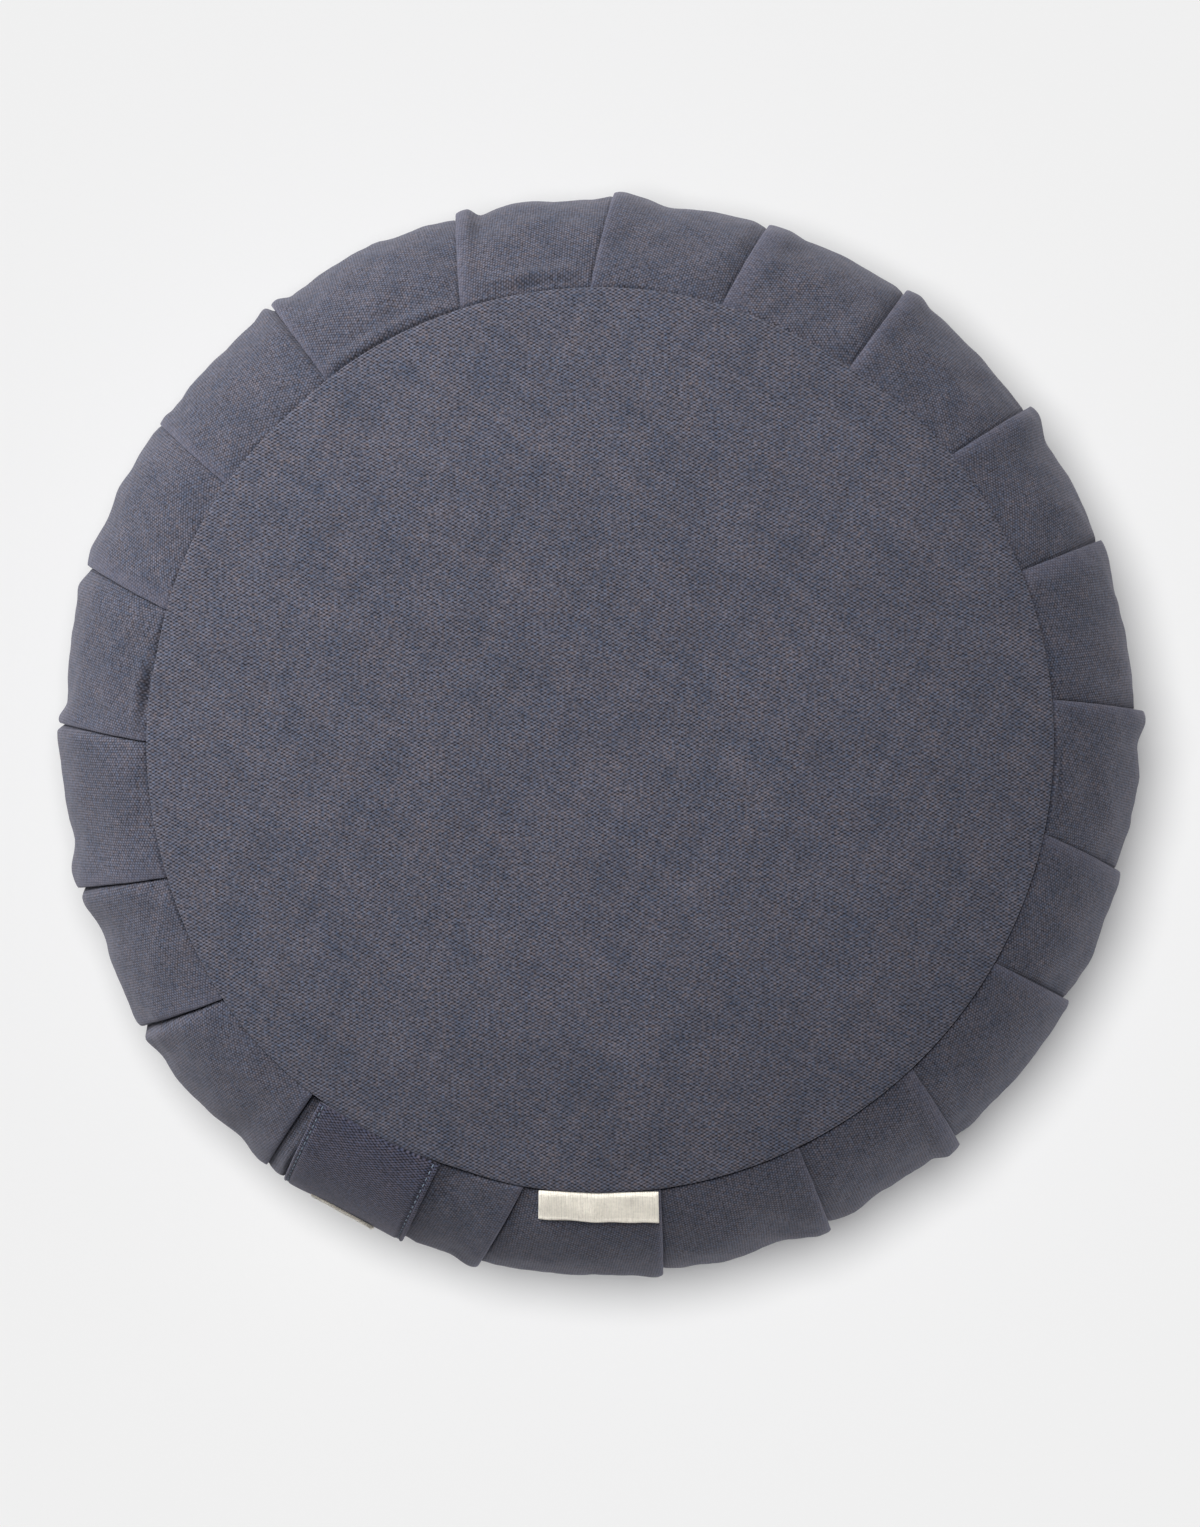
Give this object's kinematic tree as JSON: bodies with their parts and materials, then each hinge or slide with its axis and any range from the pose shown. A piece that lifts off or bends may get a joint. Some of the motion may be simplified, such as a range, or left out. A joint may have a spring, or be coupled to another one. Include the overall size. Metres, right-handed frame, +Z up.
{
  "type": "zafu meditation cushion",
  "caption": "Round filled floor cushion with a flat pleated side band, smooth top and bottom panels, a carry handle across the side and a small blank seam tab.",
  "frame": {"origin": "centre of the bounding box in plan, on the floor under the bottom panel", "axes": "+Z up through the cushion's height; +Y towards the top of the cushion as seen from above, with the carry handle on the -X -Y side"},
  "size_m": [0.401, 0.3998, 0.126],
  "materials": {
    "duck_band": "slate grey cotton duck, washed, ribs up and down the side",
    "duck_panel": "slate grey cotton duck, plain weave",
    "duck_strap": "slate grey cotton duck, folded and topstitched",
    "natural_cotton": "undyed ribbed cotton"
  },
  "bodies": {
    "root": {"pleated_body": "duck_band", "top_panel": "duck_panel", "bottom_panel": "duck_panel", "carry_handle": "duck_strap", "handle_patch": "natural_cotton", "seam_label": "natural_cotton"}
  },
  "joints": []
}
